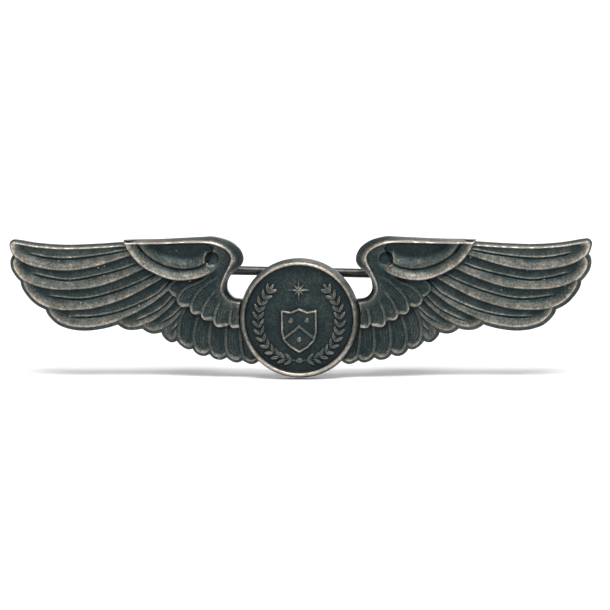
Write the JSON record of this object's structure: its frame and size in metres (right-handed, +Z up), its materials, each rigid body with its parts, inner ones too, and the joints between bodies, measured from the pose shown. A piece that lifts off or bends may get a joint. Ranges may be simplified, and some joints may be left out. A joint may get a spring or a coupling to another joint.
{
  "type": "pilot wings pin badge",
  "caption": "Winged service badge: two struck feathered wings joined behind a round medallion, with a hinged pin and a rotating safety catch on the back.",
  "frame": {"origin": "centre of the disc, in the rear face of the bridge plate, where the cloth lies", "axes": "+X along the span towards the catch's wing (the wearer's left), +Y out of the back into the cloth, +Z up; the struck front faces -Y"},
  "size_m": [0.0762, 0.0071, 0.0184],
  "materials": {
    "oxidised_silver": "antiqued silver: dark in the recesses, worn bright on the ridges",
    "disc_silver": "antiqued silver: dark in the recesses, worn bright on the ridges",
    "back_silver": "toned silver, satin, finely scratched",
    "finding_silver": "toned silver, satin",
    "rivet_silver": "satin, rubbed bright by the cloth",
    "solder": "dull, slightly lumpy solder",
    "pin_wire": "drawn wire, satin",
    "lock_silver": "satin, polished where the thumb rubs"
  },
  "bodies": {
    "badge": {"left_wing": "oxidised_silver", "right_wing": "oxidised_silver", "centre_disc": "disc_silver", "bridge_plate": "back_silver", "disc_rivets": "rivet_silver", "joint_pad": "finding_silver", "catch_pad": "finding_silver", "solder_fillets": "solder", "joint_bracket": "finding_silver", "hinge_rivet": "pin_wire", "catch_housing": "finding_silver"},
    "pin": {"pin_knuckle": "finding_silver", "pin_stem": "pin_wire"},
    "lock": {"catch_lock": "lock_silver"}
  },
  "joints": [
    {"name": "pin_hinge", "type": "hinge", "parent": "badge", "child": "pin", "pos_m": [-0.016, 0.0017, 0.00601], "axis": [0.0227, 0, 0.9997], "range_deg": [0, 95]},
    {"name": "lock_turn", "type": "hinge", "parent": "badge", "child": "lock", "pos_m": [0.0152, 0.0017, 0.00531], "axis": [0.9997, 0, -0.0227], "range_deg": [-120, 0]}
  ]
}
